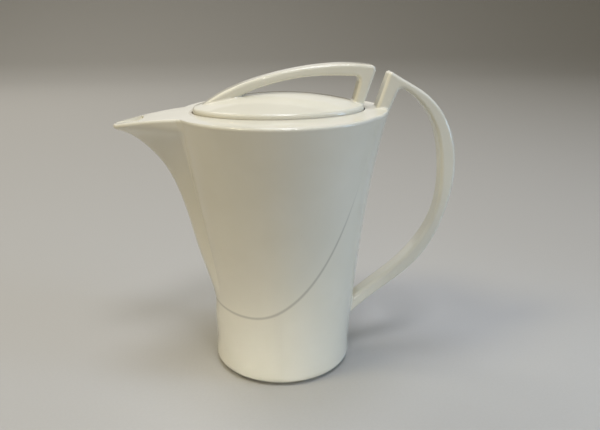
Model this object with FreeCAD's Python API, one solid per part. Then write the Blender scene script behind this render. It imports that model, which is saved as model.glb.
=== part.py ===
import FreeCAD, Part
import math
import os

Vec = FreeCAD.Vector

# Glazed porcelain coffee pot. Millimetres, z up, the foot stands on z = 0.
# +X points at the handle, -X at the pouring beak, the pot mirrors about the XZ plane.

# Pot
base_radius = 45.0
body_bottom_z = 1.4
bottom_round = 4.9
deck_z = 170.0
deck_edge_round = 1.6
wall = 4.0
floor_thickness = 5.0
floor_round = 6.0
deck_thickness = 4.5

# Foot ring under the base
foot_inset = 5.5
foot_width = 4.5
foot_hollow_height = 2.4

# Keeled column: round at the base, its handle side leans out and its other side runs out to the beak.
# The handle side widens by a share of its lean. The keel is given as (depth under the deck, distance out).
lean_start_z = 20.0
lean_slope = 0.105
lean_bend = 7.75
lean_power = 3.5
lean_widening = 0.3
keel_line = [(118.0, 0.7), (106.0, 4.0), (94.0, 7.7), (78.0, 11.8), (62.0, 15.7), (48.0, 20.0), (36.0, 25.2),
             (27.0, 31.2), (20.0, 37.6), (15.0, 43.4), (11.0, 50.7), (8.5, 57.8), (6.8, 60.9), (-8.0, 62.0)]
nose_radius_tip = 6.5
nose_radius_low = 25.8
nose_tip_depth = 7.0
nose_low_depth = 94.0
nose_power = 2.5
keel_wall_lift = 2.0

# Round flare: a turned form that comes out of the column on both flanks and opens up to the deck.
# Its side is one parabola: it starts sunk under the column's skin, spreads and bends outward with the height.
# The deck skims the flare's rounded upper edge, so that the two meet at a small angle.
flare_axis_x = 0.4
flare_height = 130.0
flare_sink = 0.3
flare_spread = 10.2
flare_bend = 9.9
flare_skim = 0.15

# Deck and mouth of the beak: the deck falls on one arc and passes the lip under the last corner of the keel's
# line. The round of the deck's edge is limited by the beak's narrow nose.
beak_fall_radius = 311.0
beak_lip = 0.70273
beak_fall_angle = math.radians(16.0)
mouth_set_back = 5.4
mouth_radius = 17.5
mouth_depth = 20.0

# Lid: an ellipse in plan, its rear tip stands the deck's band away from the pot's back
deck_band_back = 15.5
lid_half_width = 38.0
lid_edge_height = 2.6
lid_edge_round = 2.4
lid_dome_rise = 7.8
lid_wall = 4.5
seat_depth = 1.5
seat_width = 4.5
seat_gap = 0.7
flange_gap = 1.0
flange_wall = 4.0
flange_depth = 9.0

# Loop grip of the lid: points (x, height over the deck), x from the lid's front tip, middle or rear tip
loop_width = 13.0
loop_round = 2.2
loop_corner = 3.0
loop_top_front = [(1.5, 0.5), (17.8, 11.3)]
loop_top_middle = [(-8.7, 20.9), (22.5, 26.7)]
loop_top_rear = [(-9.0, 27.6), (7.4, 25.8)]
loop_under_rear = [(-3.0, 19.8), (-18.7, 20.5)]
loop_under_middle = [(18.0, 20.1), (-4.0, 16.2)]
loop_under_front = [(33.3, 11.0), (21.0, 5.0), (9.0, -2.0)]
loop_post_foot = [(-1.2, 1.0), (-7.8, 1.0)]

# Handle: upper points (x from the pot's back at the deck, height over the deck),
# lower points (x from the base's side, height over the table)
handle_width = 13.0
handle_round = 2.2
handle_corner_outer = 2.0
handle_corner_inner = 3.0
handle_outer_top = [(-0.3, 23.2), (8.5, 17.6), (24.1, 7.8), (36.1, -6.4), (44.3, -35.5)]
handle_outer_low = [(64.4, 106.3), (46.6, 69.2), (16.4, 43.9), (-7.0, 21.0)]
handle_inner_low = [(-7.0, 34.0), (5.9, 45.2), (37.5, 71.4), (56.6, 104.2)]
handle_inner_top = [(34.9, -39.0), (28.9, -10.6), (18.3, 4.2), (6.1, 13.0)]
handle_post_foot = [(-2.3, -8.0), (-11.1, -8.0)]

# Fineness of the lofted sections
half_points = 24
spacing_power = 1.5
arc_steps = 240
column_levels = 4
far = 130.0
touch = 0.01

tip_x = -(base_radius + keel_line[-2][1])
beak_drop = keel_line[-2][0] + beak_lip
beak_fall_start_x = tip_x + math.sqrt(2.0 * beak_fall_radius * beak_drop - beak_drop ** 2)
rim_round = min(deck_edge_round, nose_radius_tip / 4.0)


def lean(z):
    rise = max(0.0, z - lean_start_z)
    return lean_slope * rise + lean_bend * (rise / (deck_z - lean_start_z)) ** lean_power


def nose_radius(z):
    t = max(0.0, (deck_z - z - nose_tip_depth) / (nose_low_depth - nose_tip_depth))
    return nose_radius_tip + (nose_radius_low - nose_radius_tip) * t ** nose_power


def half_outline(z, out, inset):
    # Half of a level section, from the keel round to the handle side: the tight band round three circles,
    # the nose of the keel, the base and the leaning side
    nose = min(base_radius - inset, max(inset / 2.0, nose_radius(z) - inset))
    spread = lean_widening * lean(z)
    circles = [(inset + nose - base_radius - out, nose), (0.0, base_radius - inset),
               (lean(z) - spread, base_radius + spread - inset)]
    points = []
    for i in range(arc_steps + 1):
        c, s = math.cos(math.pi * (1.0 - i / arc_steps)), math.sin(math.pi * i / arc_steps)
        x, radius = max(circles, key=lambda circle: circle[0] * c + circle[1])
        points.append((x + radius * c, radius * s))
    return points


def section(z, out, inset):
    # The half outline is spaced again, close at the keel and wide at the back, then mirrored
    points = half_outline(z, out, inset)
    run = [0.0]
    for p, q in zip(points, points[1:]):
        run.append(run[-1] + math.hypot(q[0] - p[0], q[1] - p[1]))
    marks = [(i / half_points) ** spacing_power for i in range(half_points + 1)]
    half = []
    k = 0
    for mark in marks:
        while k < len(run) - 2 and run[k + 1] < mark * run[-1]:
            k += 1
        t = (mark * run[-1] - run[k]) / (run[k + 1] - run[k])
        p, q = points[k], points[k + 1]
        half.append((p[0] + (q[0] - p[0]) * t, p[1] + (q[1] - p[1]) * t))
    ring = [Vec(x, y, z) for x, y in half] + [Vec(x, -y, z) for x, y in half[-2:0:-1]]
    curve = Part.BSplineCurve()
    curve.interpolate(Points=ring, PeriodicFlag=True, Parameters=marks + [2.0 - m for m in marks[-2::-1]])
    return Part.Wire([curve.toShape()])


def keeled_column(bottom_z, inset, lift):
    keel = [(deck_z - depth + lift, out) for depth, out in keel_line]
    levels = [bottom_z + (keel[0][0] - bottom_z) * i / column_levels for i in range(column_levels)]
    wires = [section(z, 0.0, inset) for z in levels] + [section(z, out, inset) for z, out in keel]
    return Part.makeLoft(wires, True, False)


def edges_at(form, z):
    return [e for e in form.Edges if e.BoundBox.ZMin > z - touch and e.BoundBox.ZMax < z + touch]


def round_flare(inset):
    bottom, top = Vec(flare_axis_x, 0, deck_z - flare_height), Vec(flare_axis_x, 0, deck_z + flare_skim)
    share = (top.z - bottom.z) / flare_height
    start = base_radius - flare_sink - inset
    foot = bottom + Vec(start, 0, 0)
    pull = (bottom + top) / 2.0 + Vec(start + flare_spread * share / 2.0, 0, 0)
    rim = top + Vec(start + flare_spread * share + flare_bend * share ** 2, 0, 0)
    side = Part.BezierCurve()
    side.setPoles([foot, pull, rim])
    edges = [side.toShape(), Part.makeLine(rim, top), Part.makeLine(top, bottom), Part.makeLine(bottom, foot)]
    return Part.Face(Part.Wire(edges)).revolve(bottom, Vec(0, 0, 1), 360)


def above_deck(drop):
    # All that is over the deck: level at the lid, then falling on one large arc to the beak's tip
    z = deck_z - drop

    def on_arc(angle):
        x = beak_fall_start_x - beak_fall_radius * math.sin(angle)
        return Vec(x, -far, z - beak_fall_radius * (1.0 - math.cos(angle)))

    a, b, c = Vec(far, -far, z), on_arc(0.0), on_arc(beak_fall_angle)
    d, e = Vec(c.x, -far, deck_z + far), Vec(far, -far, deck_z + far)
    arc = Part.Arc(b, on_arc(beak_fall_angle / 2.0), c).toShape()
    wire = Part.Wire([Part.makeLine(a, b), arc, Part.makeLine(c, d), Part.makeLine(d, e), Part.makeLine(e, a)])
    return Part.Face(wire).extrude(Vec(0, 2.0 * far, 0))


def deck_outline(form):
    # The line across the deck where it starts to fall has no length along X and is left out
    level = deck_z - beak_fall_radius * (1.0 - math.cos(beak_fall_angle))
    return [e for e in form.Edges if e.BoundBox.ZMin > level and e.BoundBox.XLength > touch]


def lid_prism(grow, bottom_z):
    # The lid's plan grown in proportion, upright
    length = lid_half_length + grow
    ellipse = Part.Ellipse(Vec(0, 0, bottom_z), length, length * lid_half_width / lid_half_length)
    return Part.Face(Part.Wire([ellipse.toShape()])).extrude(Vec(0, 0, far))


def placed(points, x, z):
    return [Vec(x + px, 0, z + pz) for px, pz in points]


def spline(points):
    curve = Part.BSplineCurve()
    curve.interpolate(points)
    return curve.toShape()


def strap(runs, width, corners, edge_round):
    # A flat outline drawn out across the pot; its corners are rounded first and then its long edges
    edges = []
    for run, following in zip(runs, runs[1:] + runs[:1]):
        edges.append(spline(run) if len(run) > 2 else Part.makeLine(run[0], run[1]))
        edges.append(Part.makeLine(run[-1], following[0]))
    solid = Part.Face(Part.Wire(edges)).extrude(Vec(0, width, 0))
    solid.translate(Vec(0, -width / 2.0, 0))
    for point, radius in corners:
        at = [e for e in solid.Edges if (e.BoundBox.Center - point).Length < touch]
        solid = solid.makeFillet(radius, at)
    return solid.makeFillet(edge_round, [e for e in solid.Edges if e.BoundBox.YLength < touch])


back_x = base_radius + lean(deck_z)

# Pot body: the keeled column and the round flare in one, closed by the deck, on a foot ring
column = keeled_column(body_bottom_z, 0.0, 0.0).cut(above_deck(0.0))
column = column.makeFillet(bottom_round, edges_at(column, body_bottom_z))
column = column.makeFillet(rim_round, deck_outline(column))
flare = round_flare(0.0)
flare = flare.makeFillet(rim_round, edges_at(flare, deck_z + flare_skim)).cut(above_deck(0.0))
outer = column.fuse(flare)
foot_radius = base_radius - foot_inset
foot = Part.makeCylinder(foot_radius, body_bottom_z + floor_thickness / 2.0)
foot_hollow = Part.makeCylinder(foot_radius - foot_width, foot_hollow_height)

# Hollow: the same two forms set in by the wall; the mouth opens it at the beak's tip, the lid's opening on top
floor_z = body_bottom_z + floor_thickness
inner_column = keeled_column(floor_z, wall, keel_wall_lift)
mouth = Part.makeCylinder(mouth_radius, 2.0 * mouth_depth, Vec(tip_x + mouth_set_back, 0, deck_z - mouth_depth))
mouth = mouth.common(inner_column)
inner_column = inner_column.makeFillet(floor_round, edges_at(inner_column, floor_z))
hollow = inner_column.fuse(round_flare(wall)).cut(above_deck(deck_thickness))
lid_half_length = back_x - deck_band_back
seat_z = deck_z - seat_depth
opening = lid_prism(-seat_width, deck_z - 2.0 * deck_thickness)
seat = lid_prism(seat_gap, seat_z)
pot_body = outer.fuse(foot).cut(foot_hollow).cut(hollow).cut(mouth).cut(opening).cut(seat)

# Lid: a turned form drawn narrower across, with its edge on the seat and its flange in the opening
edge_z = deck_z + lid_edge_height
dome_radius = (lid_half_length ** 2 + lid_dome_rise ** 2) / (2.0 * lid_dome_rise)
dome_centre = Vec(0, 0, edge_z + lid_dome_rise - dome_radius)
plate = Part.makeCylinder(lid_half_length, far, Vec(0, 0, seat_z))
plate = plate.common(Part.makeSphere(dome_radius, dome_centre))
plate = plate.makeFillet(lid_edge_round, [e for e in plate.Edges if abs(e.BoundBox.ZMin - edge_z) < touch])
flange_radius = lid_half_length - seat_width - flange_gap
flange = Part.makeCylinder(flange_radius, flange_depth + seat_depth, Vec(0, 0, seat_z - flange_depth))
under = Part.makeCylinder(flange_radius - flange_wall, far, Vec(0, 0, seat_z - flange_depth))
under = under.common(Part.makeSphere(dome_radius - lid_wall, dome_centre))
narrow = FreeCAD.Matrix()
narrow.scale(1.0, lid_half_width / lid_half_length, 1.0)
lid_block = plate.fuse(flange).transformGeometry(narrow)
lid = plate.fuse(flange).cut(under).transformGeometry(narrow)

# Loop grip: a strap that leaves the lid at its front tip and comes back down as a leaning post
front, rear = -lid_half_length, lid_half_length
loop_top = placed(loop_top_front, front, deck_z) + placed(loop_top_middle, 0.0, deck_z)
loop_top += placed(loop_top_rear, rear, deck_z)
loop_under = placed(loop_under_rear, rear, deck_z) + placed(loop_under_middle, 0.0, deck_z)
loop_under += placed(loop_under_front, front, deck_z)
loop = strap([loop_top, placed(loop_post_foot, rear, deck_z), loop_under], loop_width,
             [(loop_top[-1], loop_corner), (loop_under[0], loop_corner)], loop_round)
lid_loop = loop.cut(lid_block)

# Handle: a strap on the same line as the loop, from a post on the deck round to the column
handle_outer = placed(handle_outer_top, back_x, deck_z) + placed(handle_outer_low, base_radius, 0.0)
handle_inner = placed(handle_inner_low, base_radius, 0.0) + placed(handle_inner_top, back_x, deck_z)
handle = strap([handle_outer, handle_inner, placed(handle_post_foot, back_x, deck_z)], handle_width,
               [(handle_outer[0], handle_corner_outer), (handle_inner[-1], handle_corner_inner)], handle_round)
pot_handle = handle.cut(outer)

os.makedirs("parts", exist_ok=True)
nodes = {"pot_body": pot_body, "pot_handle": pot_handle, "lid": lid, "lid_loop": lid_loop}
for name, shape in nodes.items():
    shape.exportStep("parts/" + name + ".step")
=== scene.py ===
import math

import bmesh
import bpy
from mathutils import Matrix, Vector
from mathutils.bvhtree import BVHTree


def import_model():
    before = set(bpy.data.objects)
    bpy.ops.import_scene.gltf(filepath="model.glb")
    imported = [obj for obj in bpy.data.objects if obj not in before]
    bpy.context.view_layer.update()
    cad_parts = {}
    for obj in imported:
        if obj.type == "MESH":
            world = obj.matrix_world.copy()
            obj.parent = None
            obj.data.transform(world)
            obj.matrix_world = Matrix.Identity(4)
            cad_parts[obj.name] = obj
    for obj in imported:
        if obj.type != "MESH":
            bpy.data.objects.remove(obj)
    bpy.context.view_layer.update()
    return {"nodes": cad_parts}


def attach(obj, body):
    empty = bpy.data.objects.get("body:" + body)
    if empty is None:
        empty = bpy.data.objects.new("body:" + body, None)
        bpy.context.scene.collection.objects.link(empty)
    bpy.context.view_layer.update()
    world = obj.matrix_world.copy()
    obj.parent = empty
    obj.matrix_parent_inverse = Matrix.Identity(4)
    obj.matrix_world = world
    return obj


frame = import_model()
scene = bpy.context.scene
scene.view_settings.view_transform = "Standard"

# The pot's own sizes are in millimetres, as in its source; the scene is in metres
MM_PER_M = 1000.0

# Camera: the photograph's viewing angle, in metres and degrees, how far the pot is turned in front of it, and
# the focal length in pixels
CAMERA_AT = (0.0, -0.40359, 0.23499)
CAMERA_YAW, CAMERA_PITCH, CAMERA_ROLL = (math.radians(a) for a in (1.7789, 18.403, -0.4809))
POT_TURN = math.radians(3.0)
FOCAL_PX, IMAGE_W = 650.0, 600.0
SENSOR_W, CLIP_START = 36.0, 0.01

# The two forms that cross in the pot's crease
# The round flare: its axis, and the terms of its radius over the height
FLARE_AXIS_X = 0.4
FLARE_START_Z, FLARE_RUN = 40.0, 130.0
FLARE_TERMS = (44.7, 10.2, 9.9)
# The column: its base circle, and a circle that leans out to the handle and widens as it rises
BASE_RADIUS = 45.0
LEAN_START_Z, LEAN_RUN = 20.0, 150.0
LEAN_SLOPE, LEAN_BEND, LEAN_POWER, LEAN_WIDENING = 0.105, 7.75, 3.5, 0.3

# The beak's side of the column: the keel as (depth under the deck, distance out), its nose radius at the
# tip and low down with the depths of both, the deck's height and edge round, and its fall towards the tip
KEEL_LINE = ((118.0, 0.7), (106.0, 4.0), (94.0, 7.7), (78.0, 11.8), (62.0, 15.7), (48.0, 20.0), (36.0, 25.2),
             (27.0, 31.2), (20.0, 37.6), (15.0, 43.4), (11.0, 50.7), (8.5, 57.8), (6.8, 60.9), (-8.0, 62.0))
NOSE_TIP, NOSE_LOW, NOSE_TIP_DEPTH, NOSE_LOW_DEPTH, NOSE_POWER = 6.5, 25.8, 7.0, 94.0, 2.5
DECK_Z, DECK_ROUND, FALL_START_X, FALL_RADIUS = 170.0, 1.6, -38.0, 311.0

# Glaze: thinner and thicker cream, specks, gloss, and the heights of its waves and pores in metres
# A noise is its scale, detail and roughness; a level is the stretch of noise over which its effect comes in
CREAM_THIN, CREAM_THICK = (0.80, 0.775, 0.665, 1), (0.845, 0.82, 0.715, 1)
DRIFT_NOISE, GLOSS_NOISE, MIDDLE_LEVEL = (18.0, 3.0, 0.55), (60.0, 3.0, 0.6), (0.3, 0.7)
SPECK, SPECK_STRENGTH = (0.45, 0.38, 0.28, 1), 0.35
SPECK_NOISE, SPECK_LEVEL = (900.0, 1.0, 0.4), (0.80, 0.86)
GLOSS_ROUGHNESS = (0.06, 0.11)
GLAZE_IOR = 1.52
WAVE_NOISE, WAVE_HEIGHT = (55.0, 2.0, 0.5), 0.00012
PORE_NOISE, PORE_HEIGHT = (420.0, 1.0, 0.5), 0.000006
# Painted shade in the crease: a grey line that stands for the shade in its shallow valley and for glaze
# pooled there. Half its depth, how roundly it turns at the bottom, and the heights between which it comes and
# goes
CREASE_SHADE_GREY, CREASE_SHADE_STRENGTH = (0.30, 0.28, 0.23, 1), 0.46
CREASE_HALF_DEPTH, CREASE_TURN = 0.13, 1.0
CREASE_SHADE_COMES, CREASE_SHADE_GOES = (42.0, 45.0), (92.0, 138.0)
# Bare clay, coloured dark as painted shade in the gaps under the pot and under the lid's edge: the heights
# where it ends on the foot ring, and the heights and radii that bound it on the seat
CLAY_AND_SHADE, CLAY_ROUGHER = (0.30, 0.26, 0.21, 1), 0.5
FOOT_TOP = (0.5, 1.4)
SEAT_BOTTOM, SEAT_TOP, SEAT_REACH = (168.1, 168.3), (169.3, 169.8), (54.5, 55.5)

# Glaze that fills the crease's upper arm: lowest height, hollow radius there and what is added up to the deck
FILL_LOW_Z, FILL_LOW_RADIUS, FILL_MORE, FILL_POWER = 72.0, 1.0, 15.0, 4.0
# Its rows up the crease and over the deck's rounded edge, its columns, its depth under the clay where it runs
# out, and the turns in which a point's height is found
FILL_ROWS, FILL_ROUND_ROWS, FILL_COLUMNS = 60, 6, 12
FILL_SINK, FILL_TURNS = 0.02, 3

# Slip round the straps' feet, in metres: voxel, depth under the clay where it runs out, reach from both
# pieces, and the distance at which split corners are joined; then how often it is smoothed
SLIP_VOXEL, SLIP_SINK, SLIP_REACH, WELD = 0.0004, 0.00004, 0.0034, 1e-6
SLIP_SMOOTHINGS = 40
# Each foot: piece, body, strap, what carries it, and two corners of a box round the joint in millimetres
SLIP_JOINTS = (
    ("slip_loop_front", "lid", "lid_loop", "lid", (-54, -13, 168), (-17, 13, 186)),
    ("slip_loop_post", "lid", "lid_loop", "lid", (38, -13, 166), (60, 13, 184)),
    ("slip_handle_post", "pot", "pot_handle", "pot_body", (52, -13, 154), (76, 13, 180)),
    ("slip_handle_low", "pot", "pot_handle", "pot_body", (38, -13, 20), (60, 13, 54)),
)

# Paper: half width, reach to the front, height, distance to the bend behind the pot and its radius, in metres
PAPER_HALF, PAPER_FRONT, PAPER_TOP = 12.0, 30.0, 8.0
PAPER_BACK, PAPER_BEND, PAPER_STEPS = 1.6, 1.2, 24
PAPER_DARK, PAPER_LIGHT = (0.50, 0.495, 0.48, 1), (0.54, 0.535, 0.52, 1)
PAPER_NOISE, PAPER_ROUGHNESS = (600.0, 2.0, 0.6), 0.85

# Studio light: the world, then lamps as name, place, target, width (metres), watts, colour, spread (degrees)
# and, for a panel instead of a disk, its height
WORLD_COLOUR, WORLD_STRENGTH = (1.0, 0.90, 0.68, 1), 0.17
LAMPS = (
    ("key_left", (-0.78, -0.35, 1.35), (0, 0, 0.1), 0.4, 5.2, (1.0, 0.88, 0.56), 180, None),
    ("key_front", (0.15, -0.60, 1.40), (0, 0, 0.1), 0.4, 5.4, (0.95, 0.96, 1.0), 180, None),
    ("overhead", (0.0, 0.02, 1.50), (0, 0.02, 0), 0.5, 5.9, (0.805, 0.865, 1.0), 180, None),
    ("back_panel", (-0.45, 1.8, 0.82), (-0.45, 0, 0.60), 2.5, 3.6, (1.0, 0.99, 0.97), 180, 0.9),
    ("warm_left", (-0.9, -0.3, 0.20), (0, 0, 0.04), 0.5, 0.35, (1.0, 0.62, 0.20), 180, None),
    ("cool_right", (0.95, -0.4, 0.65), (0, 0, 0.08), 0.5, 1.5, (0.50, 0.68, 1.0), 180, None),
    ("low_front", (-0.30, -0.90, 0.14), (0, 0, -0.01), 0.12, 0.013, (1.0, 1.0, 0.94), 10, None),
    ("near_right", (0.60, -0.20, 0.18), (0.03, -0.02, 0.05), 0.15, 0.075, (0.42, 0.68, 1.0), 60, None),
    ("glint_left", (-0.28, -0.42, 1.30), (0, 0, 0.17), 0.04, 0.20, (1.0, 0.98, 0.95), 180, None),
    ("glint_right", (0.22, -0.36, 1.30), (0, 0, 0.17), 0.04, 0.20, (1.0, 0.98, 0.95), 180, None),
    ("wash", (-0.80, 1.10, 1.90), (-0.6, 1.2, 0), 0.8, 5.0, (1.0, 0.94, 0.85), 110, None),
)


def camera():
    forward0 = Vector((math.sin(CAMERA_YAW), math.cos(CAMERA_YAW), 0))
    right0 = Vector((math.cos(CAMERA_YAW), -math.sin(CAMERA_YAW), 0))
    z = Vector((0, 0, 1))
    forward = forward0 * math.cos(CAMERA_PITCH) - z * math.sin(CAMERA_PITCH)
    up0 = z * math.cos(CAMERA_PITCH) + forward0 * math.sin(CAMERA_PITCH)
    right = right0 * math.cos(CAMERA_ROLL) + up0 * math.sin(CAMERA_ROLL)
    up = up0 * math.cos(CAMERA_ROLL) - right0 * math.sin(CAMERA_ROLL)
    # The camera goes round the pot, which stays in its own frame
    turn = Matrix.Rotation(-POT_TURN, 4, "Z")
    m = Matrix((right, up, -forward)).transposed().to_4x4()
    m.translation = Vector(CAMERA_AT)
    data = bpy.data.cameras.new("camera")
    data.sensor_width = SENSOR_W
    data.lens = FOCAL_PX / IMAGE_W * data.sensor_width
    data.clip_start = CLIP_START
    cam = bpy.data.objects.new("camera", data)
    cam.matrix_world = turn @ m
    scene.collection.objects.link(cam)
    scene.camera = cam


def lamp(name, at, target, width, power, colour, spread, height):
    data = bpy.data.lights.new(name, "AREA")
    data.shape = "DISK" if height is None else "RECTANGLE"
    data.size = width
    data.size_y = height or width
    data.spread = math.radians(spread)
    data.energy = power
    data.color = colour
    obj = bpy.data.objects.new(name, data)
    obj.location = at
    obj.rotation_euler = (Vector(target) - Vector(at)).to_track_quat("-Z", "Y").to_euler()
    scene.collection.objects.link(obj)


def world():
    w = bpy.data.worlds.new("studio")
    w.use_nodes = True
    back = w.node_tree.nodes["Background"]
    back.inputs["Color"].default_value = WORLD_COLOUR
    back.inputs["Strength"].default_value = WORLD_STRENGTH
    scene.world = w


class Nodes:
    """A short way to write a material's nodes."""

    def __init__(self, name):
        self.material = bpy.data.materials.new(name)
        self.material.use_nodes = True
        self.tree = self.material.node_tree
        self.shader = self.tree.nodes["Principled BSDF"]
        self.coords = self.tree.nodes.new("ShaderNodeTexCoord").outputs["Object"]

    def put(self, socket, value):
        if isinstance(value, bpy.types.NodeSocket):
            self.tree.links.new(value, socket)
        else:
            socket.default_value = value

    def math(self, op, a, b=0.0, c=0.0):
        n = self.tree.nodes.new("ShaderNodeMath")
        n.operation = op
        for socket, value in zip(n.inputs, (a, b, c)):
            self.put(socket, value)
        return n.outputs[0]

    def band(self, value, limits, to_low=0.0, to_high=1.0):
        # A soft step between the two limits
        n = self.tree.nodes.new("ShaderNodeMapRange")
        n.interpolation_type = "SMOOTHSTEP"
        for i, v in enumerate((value, *limits, to_low, to_high)):
            self.put(n.inputs[i], v)
        return n.outputs[0]

    def noise(self, scale, detail, rough):
        n = self.tree.nodes.new("ShaderNodeTexNoise")
        n.inputs["Scale"].default_value = scale
        n.inputs["Detail"].default_value = detail
        n.inputs["Roughness"].default_value = rough
        self.put(n.inputs["Vector"], self.coords)
        return n.outputs["Fac"]

    def mix(self, fac, a, b):
        n = self.tree.nodes.new("ShaderNodeMix")
        n.data_type = "RGBA"
        self.put(n.inputs[0], fac)
        self.put(n.inputs[6], a)
        self.put(n.inputs[7], b)
        return n.outputs[2]

    def bump(self, height, distance, normal=None):
        n = self.tree.nodes.new("ShaderNodeBump")
        n.inputs["Strength"].default_value = 1.0
        n.inputs["Distance"].default_value = distance
        self.put(n.inputs["Height"], height)
        if normal is not None:
            self.put(n.inputs["Normal"], normal)
        return n.outputs[0]

    def place(self):
        # The place on the piece in millimetres
        split = self.tree.nodes.new("ShaderNodeSeparateXYZ")
        self.put(split.inputs[0], self.coords)
        return tuple(self.math("MULTIPLY", o, MM_PER_M) for o in split.outputs)

    def radius_from(self, x, y, centre):
        side = self.math("SUBTRACT", x, centre)
        squares = self.math("MULTIPLY", side, side), self.math("MULTIPLY", y, y)
        return self.math("SQRT", self.math("ADD", *squares))


def painted_crease_shade(n, x, y, z):
    # Painted shade along the crease, partly glaze pooled there: one where the flare and the column are
    # equally far out, fading to nothing beside that
    up = n.math("DIVIDE", n.math("SUBTRACT", z, FLARE_START_Z), FLARE_RUN)
    flare = n.math("MULTIPLY_ADD", up, FLARE_TERMS[2], FLARE_TERMS[1])
    flare = n.math("MULTIPLY_ADD", flare, up, FLARE_TERMS[0])
    rise = n.math("MAXIMUM", n.math("SUBTRACT", z, LEAN_START_Z), 0.0)
    bend = n.math("POWER", n.math("DIVIDE", rise, LEAN_RUN), LEAN_POWER)
    lean = n.math("MULTIPLY_ADD", rise, LEAN_SLOPE, n.math("MULTIPLY", bend, LEAN_BEND))
    base = n.math("SUBTRACT", n.radius_from(x, y, 0.0), BASE_RADIUS)
    leaning = n.math("SUBTRACT", n.radius_from(x, y, n.math("MULTIPLY", lean, 1.0 - LEAN_WIDENING)),
                     n.math("MULTIPLY_ADD", lean, LEAN_WIDENING, BASE_RADIUS))
    column = n.math("SMOOTH_MIN", base, leaning, CREASE_TURN)
    apart = n.math("SUBTRACT", n.math("SUBTRACT", n.radius_from(x, y, FLARE_AXIS_X), flare), column)
    line = n.band(n.math("ABSOLUTE", apart), (0.0, CREASE_HALF_DEPTH), 1.0, 0.0)
    line = n.math("MULTIPLY", line, n.band(z, CREASE_SHADE_COMES))
    return n.math("MULTIPLY", line, n.band(z, CREASE_SHADE_GOES, 1.0, 0.0))


def bare_clay_and_shade(n, x, y, z):
    # One on the foot ring and on the seat under the lid's edge, which have no glaze and are coloured dark as
    # painted shade in their gaps
    seat = n.math("MULTIPLY", n.band(z, SEAT_BOTTOM), n.band(z, SEAT_TOP, 1.0, 0.0))
    seat = n.math("MULTIPLY", seat, n.band(n.radius_from(x, y, 0.0), SEAT_REACH, 1.0, 0.0))
    return n.math("MAXIMUM", n.band(z, FOOT_TOP, 1.0, 0.0), seat)


def glaze(name, on_body):
    n = Nodes(name)
    # Cream white, with slow drifts where the glaze lies thicker or thinner, and a few specks
    colour = n.mix(n.band(n.noise(*DRIFT_NOISE), MIDDLE_LEVEL), CREAM_THIN, CREAM_THICK)
    specks = n.band(n.noise(*SPECK_NOISE), SPECK_LEVEL, 0.0, SPECK_STRENGTH)
    colour = n.mix(specks, colour, SPECK)
    rough = n.band(n.noise(*GLOSS_NOISE), MIDDLE_LEVEL, *GLOSS_ROUGHNESS)
    if on_body:
        x, y, z = n.place()
        # The grey line along the crease is painted shade, and also stands for glaze pooled there
        colour = n.mix(n.math("MULTIPLY", painted_crease_shade(n, x, y, z), CREASE_SHADE_STRENGTH), colour, CREASE_SHADE_GREY)
        # Bare clay on the foot ring and the seat, coloured dark as painted shade in their gaps
        bare_and_shade = bare_clay_and_shade(n, x, y, z)
        colour = n.mix(bare_and_shade, colour, CLAY_AND_SHADE)
        rough = n.math("MULTIPLY_ADD", bare_and_shade, CLAY_ROUGHER, rough)
    n.put(n.shader.inputs["Base Color"], colour)
    n.put(n.shader.inputs["Roughness"], rough)
    n.shader.inputs["IOR"].default_value = GLAZE_IOR
    waves = n.bump(n.noise(*WAVE_NOISE), WAVE_HEIGHT)
    n.put(n.shader.inputs["Normal"], n.bump(n.noise(*PORE_NOISE), PORE_HEIGHT, waves))
    return n.material


def add_mesh(name, mesh, material):
    mesh.shade_smooth()
    mesh.materials.clear()
    mesh.materials.append(material)
    obj = bpy.data.objects.new(name, mesh)
    scene.collection.objects.link(obj)
    return obj


def keel_out(z):
    # The keel's distance out at a height, smooth through its points and straight above the tip
    depth = DECK_Z - z
    (d1, p1), (d2, p2) = KEEL_LINE[-2:]
    if depth < d1:
        return p1 + (p2 - p1) * (d1 - depth) / (d1 - d2)
    i = 1
    while i < len(KEEL_LINE) - 3 and depth < KEEL_LINE[i + 1][0]:
        i += 1
    (d0, p0), (d1, p1), (d2, p2), (d3, p3) = KEEL_LINE[i - 1:i + 3]
    t = (depth - d1) / (d2 - d1)
    m1 = (p2 - p0) / (d2 - d0) * (d2 - d1)
    m2 = (p3 - p1) / (d3 - d1) * (d2 - d1)
    return ((2 * t ** 3 - 3 * t ** 2 + 1) * p1 + (t ** 3 - 2 * t ** 2 + t) * m1
            + (3 * t ** 2 - 2 * t ** 3) * p2 + (t ** 3 - t ** 2) * m2)


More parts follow.
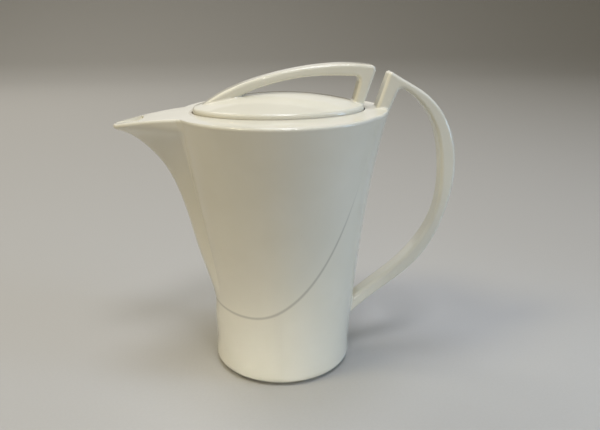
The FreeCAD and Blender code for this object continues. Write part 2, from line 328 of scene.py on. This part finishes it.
def crease_point(z, share, inset):
    # A point of the hollow round between the flare and the beak's side, in a level section that is set in
    up = (z - FLARE_START_Z) / FLARE_RUN
    flare = FLARE_TERMS[0] + FLARE_TERMS[1] * up + FLARE_TERMS[2] * up ** 2 - inset
    rise = max(z - LEAN_START_Z, 0.0)
    lean = LEAN_SLOPE * rise + LEAN_BEND * (rise / LEAN_RUN) ** LEAN_POWER
    t = max(0.0, (DECK_Z - z - NOSE_TIP_DEPTH) / (NOSE_LOW_DEPTH - NOSE_TIP_DEPTH))
    nose = min(BASE_RADIUS, NOSE_TIP + (NOSE_LOW - NOSE_TIP) * t ** NOSE_POWER)
    nose_x = nose - BASE_RADIUS - keel_out(z)
    # The side is the line that touches the nose and the base circle or the leaning circle
    circles = ((0.0, BASE_RADIUS), (lean * (1.0 - LEAN_WIDENING), BASE_RADIUS + lean * LEAN_WIDENING))
    side = max(math.acos((r - nose) / (nose_x - x)) for x, r in circles)
    reach = nose_x * math.cos(side) + nose - FLARE_AXIS_X * math.cos(side) - inset
    radius = FILL_LOW_RADIUS + FILL_MORE * ((z - FILL_LOW_Z) / (DECK_Z - FILL_LOW_Z)) ** FILL_POWER + inset
    turn = side + math.acos((reach + radius) / (flare + radius))
    angle = turn + (side - turn) * share
    centre_x = FLARE_AXIS_X + (flare + radius) * math.cos(turn)
    return centre_x - radius * math.cos(angle), (flare + radius) * math.sin(turn) - radius * math.sin(angle)


def deck_height(x):
    return DECK_Z - max(0.0, FALL_START_X - x) ** 2 / (2.0 * FALL_RADIUS)


def crease_fill(name, side, material):
    # Rows go up the crease, then over the deck's rounded edge and flat in to the deck
    rows = [(1.0 - i / FILL_ROWS, 0.0, DECK_ROUND) for i in range(FILL_ROWS + 1)]
    for i in range(1, FILL_ROUND_ROWS + 1):
        a = math.pi / 2 * i / FILL_ROUND_ROWS
        rows.append((0.0, DECK_ROUND * (1.0 - math.cos(a)), DECK_ROUND * (1.0 - math.sin(a))))
    rows.append((0.0, 2.0 * DECK_ROUND, 0.0))
    verts = []
    for run, inset, drop in rows:
        for j in range(FILL_COLUMNS + 1):
            # The deck falls towards the beak, so a point's height and its place are found in turns
            z = DECK_Z - drop
            for _ in range(FILL_TURNS):
                x, y = crease_point(z, j / FILL_COLUMNS, inset + FILL_SINK)
                top = deck_height(x) - drop
                z = top - run * (top - FILL_LOW_Z)
            verts.append((x / MM_PER_M, side * y / MM_PER_M, (z - FILL_SINK) / MM_PER_M))
    wide = FILL_COLUMNS + 1
    faces = []
    for i in range(len(rows) - 1):
        for j in range(FILL_COLUMNS):
            quad = (i * wide + j, i * wide + j + 1, (i + 1) * wide + j + 1, (i + 1) * wide + j)
            faces.append(quad if side > 0 else quad[::-1])
    mesh = bpy.data.meshes.new(name)
    mesh.from_pydata(verts, [], faces)
    piece = add_mesh(name, mesh, material)
    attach(piece, "pot")


def clip_to_box(part, low, high):
    for axis in range(3):
        for corner, sign in ((low, -1.0), (high, 1.0)):
            normal = Vector((0, 0, 0))
            normal[axis] = sign
            whole = part.verts[:] + part.edges[:] + part.faces[:]
            cut = bmesh.ops.bisect_plane(part, geom=whole, plane_co=Vector(corner) / MM_PER_M,
                                         plane_no=normal, clear_outer=True)
            edges = [e for e in cut["geom_cut"] if isinstance(e, bmesh.types.BMEdge)]
            bmesh.ops.triangle_fill(part, use_beauty=True, edges=edges)


def melted(mesh):
    # The mesh remade in small voxels as one skin and smoothed, which rounds its inner corners
    temporary = bpy.data.objects.new("melt", mesh)
    scene.collection.objects.link(temporary)
    remesh = temporary.modifiers.new("melt", "REMESH")
    remesh.mode = "VOXEL"
    remesh.voxel_size = SLIP_VOXEL
    smooth = temporary.modifiers.new("smooth", "SMOOTH")
    smooth.iterations = SLIP_SMOOTHINGS
    result = bpy.data.meshes.new_from_object(temporary.evaluated_get(bpy.context.evaluated_depsgraph_get()))
    bpy.data.objects.remove(temporary)
    return result


def slip_joint(name, body, strap, base, low, high, material):
    # Slip and glaze round a strap's foot: both pieces, cut to a box round the joint, are melted together
    both = bmesh.new()
    trees = []
    for node in (strap, base):
        part = bmesh.new()
        part.from_mesh(frame["nodes"][node].data)
        bmesh.ops.remove_doubles(part, verts=part.verts, dist=WELD)
        trees.append(BVHTree.FromBMesh(part))
        clip_to_box(part, low, high)
        block = bpy.data.meshes.new("block")
        part.to_mesh(block)
        part.free()
        both.from_mesh(block)
        bpy.data.meshes.remove(block)
    mesh = bpy.data.meshes.new("melt")
    both.to_mesh(mesh)
    both.free()
    mesh = melted(mesh)
    # It sinks just under the clay, so that only the rounds show, and what isn't near both pieces goes
    skin = bmesh.new()
    skin.from_mesh(mesh)
    for v in skin.verts:
        v.co -= v.normal * SLIP_SINK
    far_off = [f for f in skin.faces
               if any(t.find_nearest(f.calc_center_median())[3] > SLIP_REACH for t in trees)]
    bmesh.ops.delete(skin, geom=far_off, context="FACES")
    skin.to_mesh(mesh)
    skin.free()
    mesh.name = name
    piece = add_mesh(name, mesh, material)
    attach(piece, body)


def backdrop():
    # Pale paper: a floor that sweeps up into a wall far behind the pot
    n = Nodes("paper")
    n.put(n.shader.inputs["Base Color"], n.mix(n.noise(*PAPER_NOISE), PAPER_DARK, PAPER_LIGHT))
    n.shader.inputs["Roughness"].default_value = PAPER_ROUGHNESS
    profile = [(-PAPER_FRONT, 0.0)]
    for i in range(PAPER_STEPS + 1):
        a = math.pi / 2 * i / PAPER_STEPS
        profile.append((PAPER_BACK + PAPER_BEND * math.sin(a), PAPER_BEND * (1.0 - math.cos(a))))
    profile.append((PAPER_BACK + PAPER_BEND, PAPER_TOP))
    verts = [(x, y, z) for y, z in profile for x in (-PAPER_HALF, PAPER_HALF)]
    faces = [(2 * i, 2 * i + 1, 2 * i + 3, 2 * i + 2) for i in range(len(profile) - 1)]
    mesh = bpy.data.meshes.new("backdrop")
    mesh.from_pydata(verts, [], faces)
    obj = add_mesh("backdrop", mesh, n.material)


camera()
world()
backdrop()
for row in LAMPS:
    lamp(*row)

body_glaze = glaze("glaze_body", True)
plain_glaze = glaze("glaze_plain", False)
for name, node in frame["nodes"].items():
    node.data.materials.clear()
    node.data.materials.append(body_glaze if name == "pot_body" else plain_glaze)

crease_fill("crease_glaze_far", 1, plain_glaze)
crease_fill("crease_glaze_near", -1, plain_glaze)
for row in SLIP_JOINTS:
    slip_joint(*row, plain_glaze)
